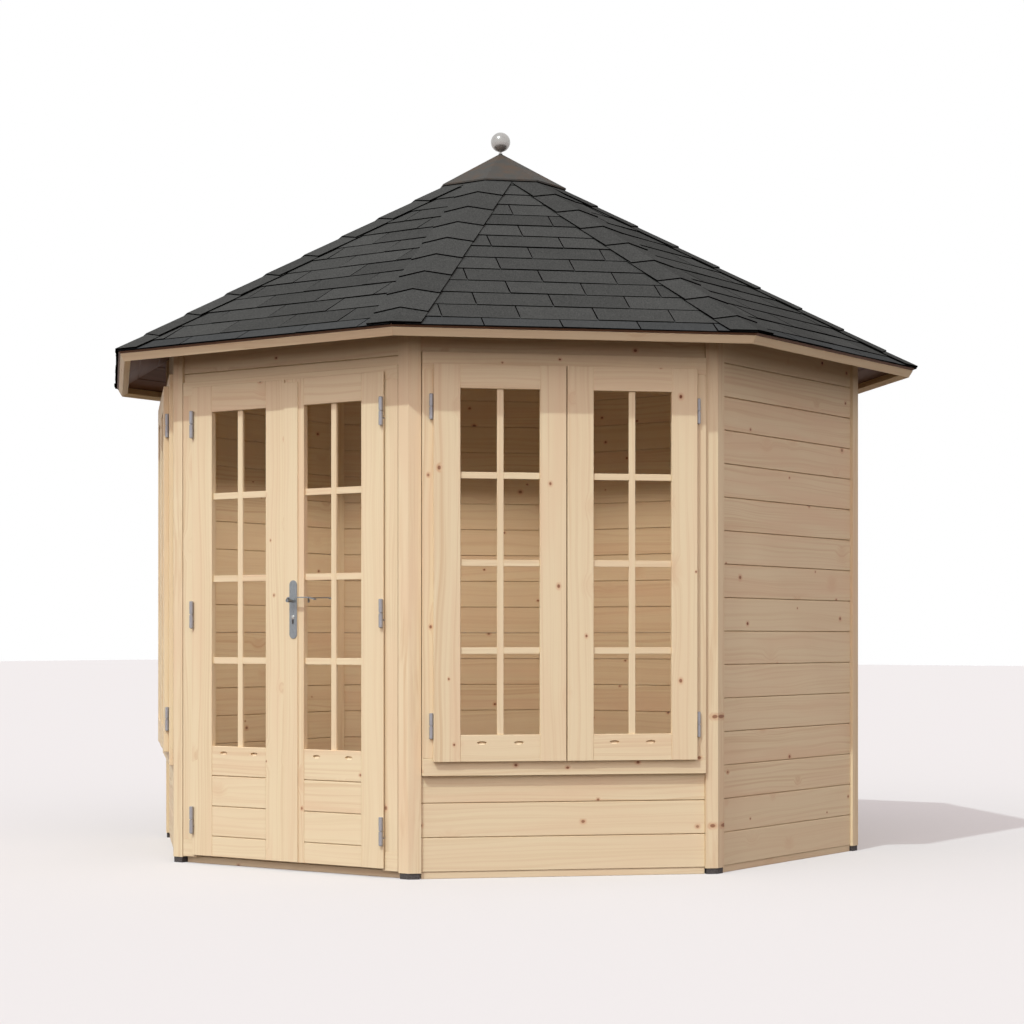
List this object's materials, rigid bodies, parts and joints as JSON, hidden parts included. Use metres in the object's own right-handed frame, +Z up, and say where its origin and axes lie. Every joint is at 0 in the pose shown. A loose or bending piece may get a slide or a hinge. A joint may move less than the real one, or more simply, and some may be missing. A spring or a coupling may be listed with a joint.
{
  "type": "garden pavilion",
  "caption": "Octagonal wooden garden pavilion with log-board walls, glazed double door, glazed side walls, hipped shingle roof, metal peak cap and ball finial.",
  "frame": {"origin": "ground level at the middle of the eight-sided plan", "axes": "+Z up, the double door faces -Y, +X to the right of someone who faces the door from outside"},
  "size_m": [3.1342, 3.1342, 2.9292],
  "materials": {
    "spruce": "planed, untreated",
    "pad": "dark, matt",
    "shingle": "mineral-surfaced bitumen felt",
    "cap_sheet": "satin brown-grey",
    "ball": "polished",
    "glass": "clear",
    "zinc": "bright zinc",
    "handle": "satin"
  },
  "bodies": {
    "pavilion": {"base_frame": "spruce", "door_head": "spruce", "door_jamb_left": "spruce", "door_jamb_right": "spruce", "door_threshold": "spruce", "fascia": "spruce", "finial_ball": "ball", "frame_hinges": "zinc", "hip_caps": "shingle", "hip_rafters": "spruce", "king_block": "spruce", "post_back_left": "spruce", "post_back_right": "spruce", "post_door_left": "spruce", "post_door_right": "spruce", "post_left_back": "spruce", "post_left_front": "spruce", "post_pads": "pad", "post_right_back": "spruce", "post_right_front": "spruce", "roof_boards": "spruce", "roof_cap": "cap_sheet", "roof_shingles": "shingle", "wall_back": "spruce", "wall_back_left": "spruce", "wall_back_right": "spruce", "wall_headers": "spruce", "wall_left": "spruce", "wall_right": "spruce", "window_aprons": "spruce", "window_frame_left": "spruce", "window_frame_right": "spruce", "window_glass": "glass", "window_hinges": "zinc", "window_sashes_left": "spruce", "window_sashes_right": "spruce"},
    "left_door": {"door_leaf_left": "spruce", "door_glass_left": "glass", "door_hinges_left": "zinc"},
    "right_door": {"door_leaf_right": "spruce", "door_glass_right": "glass", "door_hinges_right": "zinc", "meeting_strip": "spruce", "door_handles": "handle"}
  },
  "joints": [
    {"name": "left_door_hinge", "type": "hinge", "parent": "pavilion", "child": "left_door", "pos_m": [-0.45057, -1.3685, 0.934], "axis": [0, 0, -1], "range_deg": [0, 165]},
    {"name": "right_door_hinge", "type": "hinge", "parent": "pavilion", "child": "right_door", "pos_m": [0.45057, -1.3685, 0.934], "axis": [0, 0, 1], "range_deg": [0, 165]}
  ]
}
